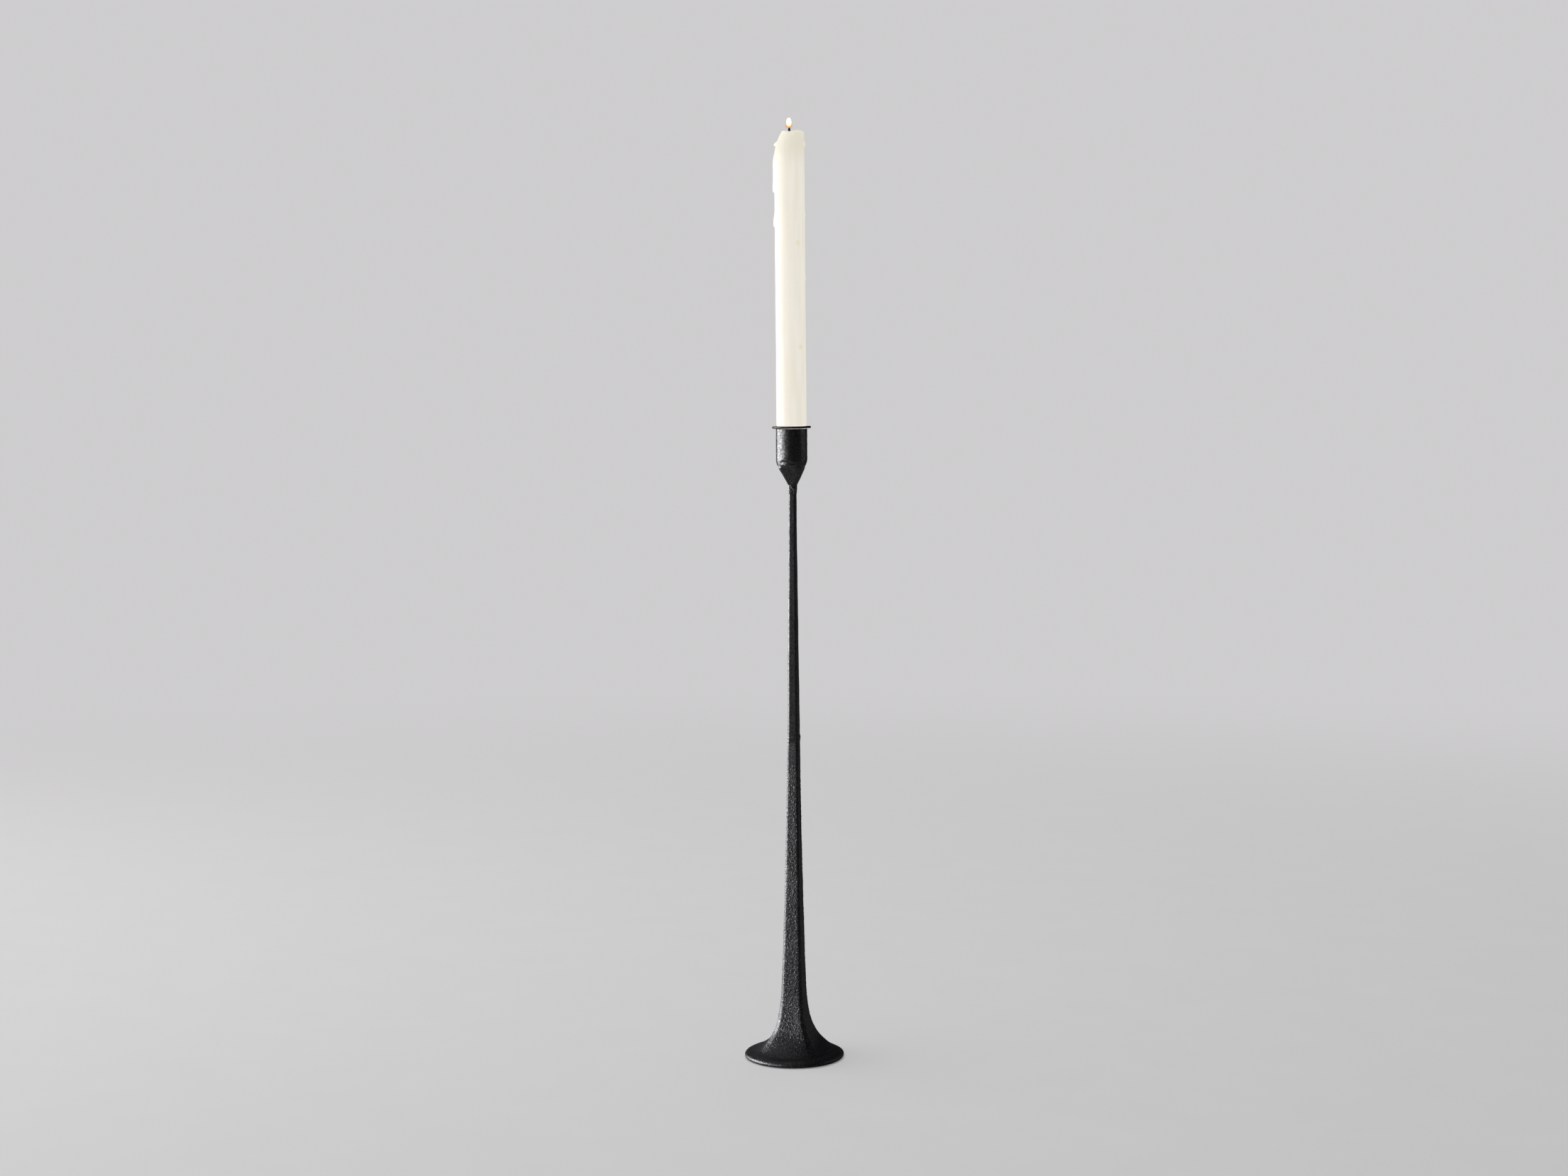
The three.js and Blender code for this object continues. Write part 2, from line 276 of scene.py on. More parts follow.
def evenly(profile, step):
    """A profile of [face reach, corner reach, height] rows, resampled to even steps along it."""
    travel = np.hypot(np.diff(profile[:, 1]), np.diff(profile[:, 2]))
    along = np.concatenate([[0], np.cumsum(travel)])
    stops = np.linspace(0, along[-1], round(along[-1] / step) + 1)
    return np.stack([np.interp(stops, along, column) for column in profile.T], axis=1)


def eased(profile, rows):
    """The profile with its facets rounded over, by averaging over rows on either side."""
    weights = np.hanning(2 * rows + 3)[1:-1]
    weights /= weights.sum()
    padded = np.pad(profile, ((rows, rows), (0, 0)), mode="reflect", reflect_type="odd")
    return np.stack([np.convolve(column, weights, mode="valid") for column in padded.T], axis=1)


def cad_profile(node, low, high, step):
    """A CAD node's outside between two heights, as rows of [face reach, corner reach, height]."""
    fine_step = 0.05
    heights = np.arange(low, high, fine_step)
    face = cad_reach(node, SECTION_TURN, heights)
    corner = cad_reach(node, CORNER_DIRECTION, heights)
    return evenly(np.stack([face, corner, heights], axis=1), step)


def unit_section(angles, crispness, chamfer_reach):
    """A square with chamfered corners, as distances from its centre, with its faces at 1."""
    total = 0
    for k in range(8):
        reach = chamfer_reach if k % 2 else 1
        towards = np.cos(angles - SECTION_TURN - k * math.pi / 4)
        total = total + (np.maximum(towards, 0) / reach) ** crispness
    return total ** (-1 / crispness)


def section(angles, face, corner, crispness, chamfer_reach=CHAMFER_REACH):
    """Distances from the axis to a section that is round, square or something between."""
    squareness = np.clip((corner / face - 1) / (CHAMFER_REACH - 1), 0, 1)
    return face * (1 + squareness * (unit_section(angles, crispness, chamfer_reach) - 1))


def iron_rings(profile, columns_for, crispness_for, chamfer_reach=CHAMFER_REACH):
    """Rings over a profile. columns_for takes the reach at a corner, and crispness_for the reach
    at a face."""
    rings = []
    for face, corner, z in profile:
        angles = around(columns_for(corner))
        radii = section(angles, face, corner, crispness_for(face), chamfer_reach)
        rings.append(ring(angles, radii, z))
    return rings


def wandered(mesh):
    """Bends a finished piece of the holder along the holder's wandering axis."""
    points = points_of(mesh)
    points[:, 0] += holder_wander(points[:, 2])
    set_points(mesh, points)
    return mesh


# ---------------------------------------------------------------- node trees


class Tree:
    """A material's or a world's node tree, with short calls for adding nodes."""

    def __init__(self, owner):
        owner.use_nodes = True
        self.nodes = owner.node_tree.nodes
        self.links = owner.node_tree.links
        self.nodes.clear()

    def add(self, kind, settings=None, **inputs):
        """A node. Each input is a value or another node's output, named with _ for a space."""
        made = self.nodes.new("ShaderNode" + kind)
        for name, value in (settings or {}).items():
            setattr(made, name, value)
        for name, value in inputs.items():
            self.feed(made.inputs[name.replace("_", " ")], value)
        return made

    def feed(self, socket, value):
        if isinstance(value, bpy.types.NodeSocket):
            self.links.new(value, socket)
        else:
            socket.default_value = value

    def position(self):
        return self.add("TexCoord").outputs["Object"]

    def noise(self, size_mm, detail=3.0, roughness=0.5, stretch=(1, 1, 1)):
        """Noise from 0 to 1 with lumps about size_mm wide, stretched along the axes."""
        scaled = self.add("Mapping", Vector=self.position())
        scaled.inputs["Scale"].default_value = [1 / (size_mm * MM * s) for s in stretch]
        made = self.add("TexNoise", Scale=1.0, Detail=detail, Roughness=roughness)
        self.links.new(scaled.outputs[0], made.inputs["Vector"])
        return made.outputs["Fac"]

    def smooth_step(self, value, start, end, first, last):
        """first up to the value start and last from the value end, with an easy curve between."""
        made = self.add("MapRange", {"interpolation_type": "SMOOTHSTEP"}, Value=value)
        made.inputs["From Min"].default_value = start
        made.inputs["From Max"].default_value = end
        made.inputs["To Min"].default_value = first
        made.inputs["To Max"].default_value = last
        return made.outputs[0]

    def below(self, high, fade):
        """1 up to fade millimetres below a height, falling to 0 at that height."""
        height = self.add("SeparateXYZ", Vector=self.position()).outputs["Z"]
        return self.smooth_step(height, (high - fade) * MM, high * MM, 1, 0)

    def ramp(self, value, *stops):
        """A colour or grey ramp. Each stop is (position, colour) or (position, grey)."""
        made = self.add("ValToRGB", Fac=value)
        elements = made.color_ramp.elements
        while len(elements) < len(stops):
            elements.new(0.5)
        for element, (position, colour) in zip(elements, stops):
            element.position = position
            grey = isinstance(colour, (int, float))
            element.color = (colour, colour, colour, 1) if grey else (*colour, 1)
        return made.outputs["Color"]

    def mix(self, share, one, other):
        """one at share 0 and other at share 1, as colours."""
        made = self.add("Mix", {"data_type": "RGBA"})
        colours = [s for s in made.inputs if s.type == "RGBA"]
        self.feed(made.inputs[0], share)
        self.feed(colours[0], (*one, 1) if isinstance(one, tuple) else one)
        self.feed(colours[1], (*other, 1) if isinstance(other, tuple) else other)
        return next(s for s in made.outputs if s.type == "RGBA")

    def maths(self, operation, one, other):
        made = self.add("Math", {"operation": operation})
        self.feed(made.inputs[0], one)
        self.feed(made.inputs[1], other)
        return made.outputs[0]

    def stored(self, name):
        """The value stored on the mesh's points under a name."""
        return self.add("Attribute", {"attribute_name": name}).outputs["Fac"]

    def bump(self, height, distance_mm, strength=1.0, normal=None):
        made = self.add("Bump", Height=height, Distance=distance_mm * MM, Strength=strength)
        if normal:
            self.links.new(normal, made.inputs["Normal"])
        return made.outputs["Normal"]

    def surface(self, **inputs):
        shader = self.add("BsdfPrincipled", **inputs)
        out = self.add("OutputMaterial")
        self.links.new(shader.outputs[0], out.inputs["Surface"])
        return shader


# ---------------------------------------------------------------- materials


def cast_iron():
    """Blackened sand-cast skin: dull in its pits and lighter on its grains, with faint rust."""
    made = bpy.data.materials.new("cast_iron_skin")
    tree = Tree(made)
    grainy = tree.below(STEM_JOINT, GRAIN_FADE)
    grain_share = tree.maths("ADD", 0.2, tree.maths("MULTIPLY", 0.8, grainy))
    grains = tree.ramp(tree.noise(0.95, detail=2, roughness=0.6), (0.5, 0.0), (0.66, 1.0))
    patches = tree.noise(9, detail=4)
    dull = tree.mix(patches, (0.05, 0.05, 0.053), (0.088, 0.086, 0.09))
    colour = tree.mix(grains, dull, (0.2, 0.198, 0.205))
    rust = tree.ramp(tree.noise(14, detail=6, roughness=0.7), (0.6, 0.0), (0.75, 0.4))
    colour = tree.mix(rust, colour, (0.15, 0.11, 0.085))
    roughness = tree.ramp(grains, (0.0, 0.42), (1.0, 0.26))
    pits = tree.noise(0.5, detail=2, roughness=0.5)
    normal = tree.bump(grains, 0.08, grain_share, tree.bump(pits, 0.02, 0.6))
    tree.surface(Base_Color=colour, Metallic=0.85, Roughness=roughness, Normal=normal)
    return made


def forged_iron():
    """Blackened forged bar and pipe: satin, with hammer mottling and faint brown streaks."""
    made = bpy.data.materials.new("forged_iron_skin")
    tree = Tree(made)
    mottle = tree.noise(1.5, detail=5, roughness=0.65)
    worn = tree.ramp(mottle, (0.36, 0.0), (0.64, 1.0))
    colour = tree.mix(worn, (0.1, 0.1, 0.103), (0.28, 0.277, 0.286))
    streaks = tree.noise(3, detail=5, roughness=0.7, stretch=(1, 1, 9))
    brown = tree.ramp(streaks, (0.62, 0.0), (0.76, 0.5))
    colour = tree.mix(brown, colour, (0.2, 0.15, 0.115))
    roughness = tree.ramp(mottle, (0.3, 0.36), (0.7, 0.26))
    scratches = tree.noise(0.5, detail=4, roughness=0.7, stretch=(1, 1, 3))
    normal = tree.bump(mottle, 0.03, 0.6, tree.bump(scratches, 0.01, 0.7))
    tree.surface(Base_Color=colour, Metallic=0.9, Roughness=roughness, Normal=normal)
    return made


def candle_wax():
    """Ivory wax with a painted glow: emission that stands in for the light soaking through the wax
    and lightens its shaded side. The painted glow is a little weaker over the melted top, so that
    its shading shows. It is streaked down the sides, and the wax is yellow at its stains."""
    made = bpy.data.materials.new("ivory_wax")
    tree = Tree(made)
    streaks = tree.ramp(tree.noise(3.5, detail=4, stretch=(1, 1, 14)), (0.35, 0.0), (0.65, 1.0))
    cloud = tree.ramp(tree.noise(12, detail=4), (0.35, 0.0), (0.65, 1.0))
    # 1 below the melted top and 0 at it: the painted glow is weaker and warmer over the top
    full_glow_below_top = tree.below(CANDLE_TOP - 8, 24)
    stain = tree.stored("stain")
    colour = tree.mix(cloud, (0.57, 0.555, 0.5), (0.63, 0.615, 0.57))
    colour = tree.mix(stain, colour, (0.72, 0.6, 0.34))
    # Painted glow: an emission colour that stands in for light soaking through the wax, with
    # streaks and stains
    glow = tree.mix(streaks, (0.96, 0.9, 0.78), (1.0, 0.96, 0.86))
    glow = tree.mix(full_glow_below_top, (0.95, 0.9, 0.76), glow)
    glow = tree.mix(stain, glow, (0.9, 0.72, 0.42))
    # Strength of the painted glow, a little lower over the melted top
    strength = tree.maths("ADD", 0.74, tree.maths("MULTIPLY", 0.05, full_glow_below_top))
    roughness = tree.ramp(tree.noise(4, detail=4), (0.3, 0.3), (0.7, 0.5))
    rough_skin = tree.noise(1.3, detail=4, roughness=0.55, stretch=(1, 1, 2))
    normal = tree.bump(rough_skin, 0.06, 0.6)
    shader = tree.surface(
        Base_Color=colour,
        Roughness=roughness,
        Normal=normal,
        Subsurface_Weight=1.0,
        Subsurface_Scale=0.012,
        Emission_Color=glow,
        Emission_Strength=strength,
    )
    shader.inputs["Subsurface Radius"].default_value = (1.0, 0.85, 0.65)
    return made


def charred_cotton():
    """Black burnt cotton with a little grey ash."""
    made = bpy.data.materials.new("charred_cotton")
    tree = Tree(made)
    ash = tree.noise(0.5, detail=4, roughness=0.7)
    colour = tree.mix(ash, (0.006, 0.005, 0.005), (0.035, 0.028, 0.024))
    normal = tree.bump(tree.noise(0.2, detail=3), 0.05)
    roughness = tree.ramp(ash, (0.3, 0.95), (0.8, 0.75))
    tree.surface(Base_Color=colour, Roughness=roughness, Normal=normal)
    return made


def black_felt():
    """Black wool felt, with its fibres a little lighter than its hollows."""
    made = bpy.data.materials.new("black_felt")
    tree = Tree(made)
    fibres = tree.noise(0.4, detail=6, roughness=0.8)
    colour = tree.mix(fibres, (0.008, 0.008, 0.009), (0.04, 0.04, 0.043))
    normal = tree.bump(fibres, 0.2)
    roughness = tree.ramp(fibres, (0.3, 1.0), (0.7, 0.85))
    tree.surface(Base_Color=colour, Roughness=roughness, Normal=normal, Sheen_Weight=0.4)
    return made


def candle_flame():
    """White-hot in the middle, orange and then clear towards its edge and over the wick."""
    made = bpy.data.materials.new("candle_flame")
    tree = Tree(made)
    rise = tree.stored("rise")
    edge = tree.add("LayerWeight", Blend=0.5).outputs["Facing"]
    white = (1.0, 0.93, 0.8)
    orange = (0.95, 0.5, 0.2)
    brown = (0.45, 0.17, 0.06)
    across = tree.ramp(edge, (0.3, white), (0.55, orange), (0.85, brown))
    upwards = tree.ramp(rise, (0.1, brown), (0.27, orange), (0.48, white))
    colour = tree.add("VectorMath", {"operation": "MULTIPLY"})
    tree.links.new(across, colour.inputs[0])
    tree.links.new(upwards, colour.inputs[1])
    strength = tree.ramp(tree.maths("SUBTRACT", rise, edge), (0.0, 0.25), (0.35, 1.0))
    brightness = tree.maths("MULTIPLY", strength, 5.0)
    glow = tree.add("Emission", Color=colour.outputs[0], Strength=brightness)
    solid_across = tree.ramp(edge, (0.5, 1.0), (0.95, 0.0))
    solid_upwards = tree.ramp(rise, (0.08, 0.0), (0.26, 1.0))
    mixed = tree.add("MixShader", Fac=tree.maths("MULTIPLY", solid_across, solid_upwards))
    tree.links.new(tree.add("BsdfTransparent").outputs[0], mixed.inputs[1])
    tree.links.new(glow.outputs[0], mixed.inputs[2])
    out = tree.add("OutputMaterial")
    tree.links.new(mixed.outputs[0], out.inputs["Surface"])
    return made


CAST_IRON = cast_iron()
FORGED_IRON = forged_iron()


# ---------------------------------------------------------------- the ironwork

CAST_STEP = 0.5  # spacing of the casting's points, fine enough to hold its pebbles
CAST_CORNER = 4.4  # how crisp the corners are, for each millimetre of the section
FORGED_CORNER = 11
WORN_CHAMFER_REACH = 1.18  # the forged bar's corners are hammered broader than the casting's
BAR_STEP = 0.6
BAR_COLUMNS = 96
CUP_STEP = 0.35
CUP_COLUMNS = 192
FOOT_COLUMNS = 512


def cast_columns(radius):
    """Points round one ring of the casting, doubled where it widens."""
    if radius < 12:
        return FOOT_COLUMNS // 4
    if radius < 24:
        return FOOT_COLUMNS // 2
    return FOOT_COLUMNS


def cast_crispness(face):
    return CAST_CORNER * min(face, 22)


def forged_crispness(face):
    return FORGED_CORNER * min(face, 6)


def bar_columns(radius):
    """The bar is slim, so all its rings hold the same number of points."""
    return BAR_COLUMNS


def pebbles(points):
    """The sand-cast skin: rounded grains about a millimetre across, softer on the round foot and
    towards the stem joint."""
    grain = smooth(0.0, 0.45, lumps(points, 1.15))
    grain += 0.6 * smooth(0.05, 0.5, lumps(points, 0.7, 7.3))
    radius = np.hypot(points[:, 0], points[:, 1])
    softer = 1 - 0.65 * smooth(22, 32, radius)
    softer *= 1 - 0.75 * smooth(STEM_JOINT - GRAIN_FADE, STEM_JOINT - 3, points[:, 2])
    above_the_base = smooth(FOOT_BOTTOM, FOOT_BOTTOM + 1, points[:, 2])
    uneven = 0.16 * lumps(points, np.array([10, 10, 16]), 4.7)
    return (0.15 * (grain - 0.5) * softer + uneven) * above_the_base


def shape_foot(mesh):
    """Low dents and swellings over the round foot, a hump at its back right and a raised lip
    along its edge, fullest on the right."""
    points = points_of(mesh)
    radius = np.hypot(points[:, 0], points[:, 1])
    angle = np.arctan2(points[:, 1], points[:, 0])
    outward = points * [1, 1, 0] / np.maximum(radius, 1)[:, None]
    standing = smooth(FOOT_BOTTOM + 0.3, FOOT_BOTTOM + 2, points[:, 2])
    dents = 0.45 * lumps(points, 17, 3.1) * smooth(8, 36, radius)
    on_top = smooth(2.0, 3.5, points[:, 2]) * standing
    back_right = hump(turn_from(angle, math.radians(25)), 0, math.radians(80))
    front_right = hump(turn_from(angle, math.radians(-45)), 0, math.radians(95))
    rise = 1.1 * back_right * hump(radius, 27, 10)
    lip = hump(radius, 35.2, 2.6) - hump(radius, 31.0, 3.2)
    rise += (0.12 + 0.5 * front_right) * lip
    points += outward * (dents * standing)[:, None]
    points[:, 2] += rise * on_top
    set_points(mesh, points)


def build_foot_casting():
    """The round foot and the lower stem, with the recess for the felt below."""
    profile = cad_profile("cast_foot", FOOT_BOTTOM + 0.02, STEM_JOINT - 0.2, CAST_STEP)
    outside = iron_rings(eased(profile, rows=3), cast_columns, cast_crispness)
    angles = around(FOOT_COLUMNS)
    felt_gap = 0.4
    recess_radius = FELT_RADIUS + felt_gap
    recess_roof = FELT_TOP + felt_gap
    underside = [
        ring(angles, recess_radius - 1, recess_roof),
        ring(angles, recess_radius, recess_roof),
        ring(angles, recess_radius, FOOT_BOTTOM),
        ring(angles, (recess_radius + profile[0][0]) / 2, FOOT_BOTTOM),
    ]
    mesh = ring_mesh("foot_casting", underside + outside)
    shape_foot(mesh)
    roughen(mesh, pebbles)
    return piece(wandered(mesh), CAST_IRON, "holder", "cast_foot")


def forged_waves(points):
    """Shallow hammer flats along the bar, with a fine scale over them."""
    flats = lumps(points, np.array([9, 9, 15])) + 0.35 * lumps(points, 3.2, 5.7)
    return 0.15 * flats + 0.03 * lumps(points, 0.9, 1.9)


def build_bar():
    """The forged square bar, from the stem joint to the neck."""
    profile = cad_profile("upper_stem", STEM_JOINT + 0.2, NECK_JOINT - 0.2, BAR_STEP)
    rings = iron_rings(profile, bar_columns, forged_crispness, WORN_CHAMFER_REACH)
    mesh = ring_mesh("forged_bar", rings)
    roughen(mesh, forged_waves)
    return piece(wandered(mesh), FORGED_IRON, "holder", "upper_stem")


def bead_rings(joint, half_height, lower, upper, proud_for):
    """A bead round a joint, from the face reach lower to the face reach upper. It stands out of
    the iron by proud_for(angles), and dives under it unevenly at its two ends."""
    angles = around(128)
    edge = half_height - 0.9 - 0.8 * np.abs(np.sin(2.5 * angles) * np.cos(3 * angles + 1))
    rings = []
    for z in np.arange(-half_height, half_height + 0.01, 0.25):
        face = lower + (upper - lower) * (z + half_height) / (2 * half_height)
        corner = face * CHAMFER_REACH
        radii = section(angles, face, corner, forged_crispness(face), WORN_CHAMFER_REACH)
        radii += proud_for(angles) * hump(z, 0, half_height)
        radii -= 0.2 * smooth(0, 1.6, abs(z) - edge + 1.0)
        rings.append(ring(angles, radii, joint + z))
    return rings


def build_stem_weld():
    """A lumpy swelling, fullest on the right, where the bar meets the casting."""
    half_height = 4.6
    lower = cad_reach("cast_foot", SECTION_TURN, [STEM_JOINT - 4])[0]
    upper = cad_reach("upper_stem", SECTION_TURN, [STEM_JOINT + 4])[0]

    def proud(angles):
        return -0.03 + 0.55 * hump(turn_from(angles, RIGHT), 0, math.radians(80))

    def lumpy(points):
        crown = hump(points[:, 2], STEM_JOINT, half_height)
        return (0.16 * lumps(points, 2.2, 2.2) + 0.08 * lumps(points, 0.9)) * crown

    mesh = ring_mesh("stem_weld_bead", bead_rings(STEM_JOINT, half_height, lower, upper, proud))
    roughen(mesh, lumpy)
    return piece(wandered(mesh), FORGED_IRON, "holder", "stem_weld")


def build_neck_weld():
    """A rough bead drawn down and across the front of the neck."""
    half_height = 4.8
    lower = cad_reach("upper_stem", SECTION_TURN, [NECK_JOINT - 4])[0]
    upper = lower + 0.5

    def proud(angles):
        return 0.05 + 0.2 * hump(turn_from(angles, math.radians(-120)), 0, math.radians(100))

    def drawn_bead(points):
        middle = NECK_JOINT
        ridge = stroke(points, (-2.5, middle + 4.5), (1.3, middle - 0.4), 0.75)
        tail = stroke(points, (1.3, middle - 0.4), (1.0, middle - 4.0), 0.7)
        crease = stroke(points, (-2.2, middle - 1.8), (-0.4, middle + 0.5), 0.55)
        lip = stroke(points, (-2.4, middle - 0.9), (-1.0, middle + 0.9), 0.5)
        rough = 0.14 * lumps(points, 1.1) + 0.06 * lumps(points, 0.5)
        crown = hump(points[:, 2], middle, half_height)
        return 0.3 * ridge + 0.15 * tail - 0.3 * crease + 0.12 * lip + rough * crown

    mesh = ring_mesh("neck_weld_bead", bead_rings(NECK_JOINT, half_height, lower, upper, proud))
    roughen(mesh, drawn_bead)
    return piece(wandered(mesh), FORGED_IRON, "holder", "neck_weld")


CUP_FACETS_TOP = 457.5  # the four hammered facets end here, and the pipe's band is over them

# Three drops of weld spatter on the front of the cup's neck, from the axis.
SPATTER = [(-2.8, -4.6, 447.6), (-1.4, -4.3, 446.3), (-0.2, -4.0, 445.0)]


def hammered_cup(points):
    """Fine hammer marks over the pipe, and the marks left by forging its band and facets. The
    bore stays smooth."""
    radius = np.hypot(points[:, 0], points[:, 1])
    bore_wall = np.interp(points[:, 2], [440, 443, 462, 490], [0.5, 1.5, 11.2, 11.2])
    outside = smooth(0.1, 0.5, radius - bore_wall)
    marks = 0.07 * lumps(points, 3.6, 4.4) + 0.055 * lumps(points, 1.4, 8.1)
    marks += 0.03 * lumps(points, 0.6, 3.3)
    top = CUP_FACETS_TOP
    fold = stroke(points, (-5.4, top + 1.2), (3.4, top + 1.5), 0.6)
    fold *= 1 + 0.8 * lumps(points, 1.0)
    flat = stroke(points, (-7.6, top + 3.4), (-2.0, top + 3.6), 2.0)
    crease = stroke(points, (-5.6, top + 6.4), (0.8, top + 6.8), 0.5)
    nick = stroke(points, (6.5, top + 17), (6.7, top + 19.5), 0.4)
    edge = stroke(points, (5.0, top - 0.8), (1.9, top - 6.5), 0.9)
    forging = 0.34 * fold - 0.42 * flat - 0.22 * crease + 0.15 * nick - 0.2 * edge
    drops = 0
    for drop in SPATTER:
        drops = drops + 0.4 * hump(np.linalg.norm(points - drop, axis=1), 0, 0.8)
    return (marks + forging + drops) * outside


def cup_outside_rings(profile):
    """The outside of the cup. Its step over the facets is crisp on the left, and drawn out into
    one smooth curve on the right."""
    angles = around(CUP_COLUMNS)
    smoothness = hump(turn_from(angles, math.radians(-20)), 0, math.radians(110))
    rings = []
    for crisp, soft in zip(eased(profile, rows=1), eased(profile, rows=12)):
        crisp_radii = section(angles, crisp[0], crisp[1], forged_crispness(crisp[0]))
        soft_radii = section(angles, soft[0], soft[1], forged_crispness(soft[0]))
        radii = crisp_radii + (soft_radii - crisp_radii) * smoothness
        rings.append(ring(angles, radii, crisp[2] + (soft[2] - crisp[2]) * smoothness))
    return rings


def cup_bore_rings():
    """The bore, from the cup's top down its wall and its cone to its floor."""
    angles = around(CUP_COLUMNS)
    rings = [ring(angles, CUP_BORE_RADIUS + 0.1, CUP_TOP)]
    for z in np.linspace(CUP_TOP - 0.1, CUP_BORE_BOTTOM, 24):
        rings.append(ring(angles, CUP_BORE_RADIUS, z))
    for share in np.linspace(0.1, 1, 10):
        radius = CUP_BORE_RADIUS + (CUP_FLOOR_RADIUS - CUP_BORE_RADIUS) * share
        z = CUP_BORE_BOTTOM + (CUP_FLOOR - CUP_BORE_BOTTOM) * share
        rings.append(ring(angles, radius, z))
    rings.append(ring(angles, 1.0, CUP_FLOOR))
    return rings


def build_cup():
    """The pipe, with its lower end hammered down to four facets."""
    profile = cad_profile("candle_cup", NECK_JOINT + 0.3, CUP_TOP - 0.02, CUP_STEP)
    mesh = ring_mesh("cup_body", cup_outside_rings(profile) + cup_bore_rings())
    roughen(mesh, hammered_cup)
    return piece(wandered(mesh), FORGED_IRON, "holder", "candle_cup")


def build_rim():
    """The flat rim ring, rounded over at its edge and a little out of true."""
    angles = around(CUP_COLUMNS)
    round_radius = (RIM_TOP - RIM_BOTTOM) / 2
    middle = (RIM_TOP + RIM_BOTTOM) / 2
    flat_reaches = np.linspace(CUP_BORE_RADIUS + 0.4, RIM_RADIUS - round_radius - 0.1, 6)
    outline = [(CUP_BORE_RADIUS, RIM_BOTTOM)]
    outline += [(reach, RIM_BOTTOM) for reach in flat_reaches]
    for turn in np.radians(np.linspace(-90, 90, 15)):
        reach = RIM_RADIUS - round_radius + round_radius * math.cos(turn)
        outline.append((reach, middle + round_radius * math.sin(turn)))
    outline += [(reach, RIM_TOP) for reach in flat_reaches[::-1]]
    outline.append((CUP_BORE_RADIUS, RIM_TOP))
    mesh = closed_ring_mesh("rim_ring", [ring(angles, reach, z) for reach, z in outline])
    points = points_of(mesh)
    points[:, 2] += 0.2 * points[:, 0] / RIM_RADIUS + 0.12 * lumps(points, 11, 6.0)
    set_points(mesh, points)
    roughen(mesh, lambda p: 0.06 * lumps(p, 2.0) + 0.02 * lumps(p, 0.7))
    return piece(mesh, FORGED_IRON, "holder", "cup_rim")


build_foot_casting()
build_bar()
build_stem_weld()
build_neck_weld()
build_cup()
build_rim()


# ---------------------------------------------------------------- the candle

CANDLE_COLUMNS = 256
PLUG_RADIUS = 10.8
SHOULDER_GAP = 0.35  # between the rim and the candle's shoulder
RUNS_BOTTOM = 634  # the wax runs are all above this height
MELT_BOTTOM = 688  # and the wax is melted above this one
BURN_HEIGHT = 20  # height of the burnt shoulder
BURN_DEPTH = 6.1
LIP_ROUND = 1.0
POOL_DEPTH = 2.6
WICK_RADIUS = 0.85

# Each run of wax: direction, top, bottom, half width, how far it stands out.
WAX_RUNS = [
    (LEFT, 696, 664.5, 5.0, 1.35),
    (LEFT + 0.1, 651.5, 638.5, 4.0, 0.95),
    (RIGHT - 0.15, 653, 646, 3.0, 0.55),
    (FRONT - 0.9, 690, 655, 2.2, 0.3),
    (FRONT + 0.7, 700, 668, 2.6, 0.25),
    (FRONT + 2.6, 698, 640, 3.0, 0.8),
]

# Each bead of wax: direction, height, half width, half height, how far it stands out, its droop.
WAX_BEADS = [
    (LEFT, 700.3, 1.9, 1.7, 1.75, 0.1),
    (RIGHT - 0.05, 700.4, 1.7, 2.2, 1.2, 0.7),
    (RIGHT - 0.1, 600, 1.2, 1.8, 0.6, 0.5),
]

# Each yellow stain: direction, height, half size.
WAX_STAINS = [
    (RIGHT - 0.1, 600, 3.0),
    (FRONT + 0.55, 626, 2.6),
    (FRONT + 0.7, 548, 3.0),
    (RIGHT - 0.05, 699, 2.6),
]

# The height of the candle's lip, relative to its top, at directions in degrees.
LIP_DIRECTIONS = [-180, -150, -120, -93, -72, -52, -20, 60, 120, 180]
LIP_HEIGHTS = [0.0, -0.1, -0.35, -1.2, -0.6, 0.0, -0.3, -0.6, -0.6, 0.0]


def lip_height(angles):
    """The height of the candle's lip, smoothed between the directions above."""
    degrees = np.degrees(turn_from(angles, 0))
    heights = np.interp(degrees, LIP_DIRECTIONS, LIP_HEIGHTS)
    weights = np.hanning(23)[1:-1]
    wrapped = np.pad(heights, 10, mode="wrap")
    return CANDLE_TOP + np.convolve(wrapped, weights / weights.sum(), mode="valid")


def burnt_away(angles, z):
    """How far the flame has melted the candle's left shoulder in."""
    rise = np.clip((z - (CANDLE_TOP - BURN_HEIGHT)) / BURN_HEIGHT, 0, 1.05)
    towards = np.maximum(np.cos(turn_from(angles, LEFT) * 0.75), 0)
    return BURN_DEPTH * rise**2.1 * towards**1.5


def wax_flow(angles, z):
    """How far the wax runs stand out, at every angle of one ring."""
    proud = np.zeros_like(angles)
    for direction, top, bottom, half_width, height in WAX_RUNS:
        across = hump(turn_from(angles, direction) * CANDLE_RADIUS, 0, half_width)
        along = smooth(bottom - 0.8, bottom + 0.6, z) * (1 - smooth(top - 9, top, z))
        fullness = 0.75 + 0.25 * hump(z, bottom + 3, 8)
        proud += height * across * along * fullness
    return proud


def plug_rings(angles, base):
    """The shaved plug inside the cup, up to the candle's shoulder."""
    rings = [
        ring(angles, PLUG_RADIUS - 1.0, CANDLE_BOTTOM),
        ring(angles, PLUG_RADIUS - 0.3, CANDLE_BOTTOM + 0.2),
        ring(angles, PLUG_RADIUS, CANDLE_BOTTOM + 1),
    ]
    for z in np.linspace(CANDLE_BOTTOM + 3, base - 0.05, 10):
        rings.append(ring(angles, PLUG_RADIUS, z))
    rings.append(ring(angles, CANDLE_RADIUS - 0.15, base))
    rings.append(ring(angles, CANDLE_RADIUS, base + 0.15))
    return rings


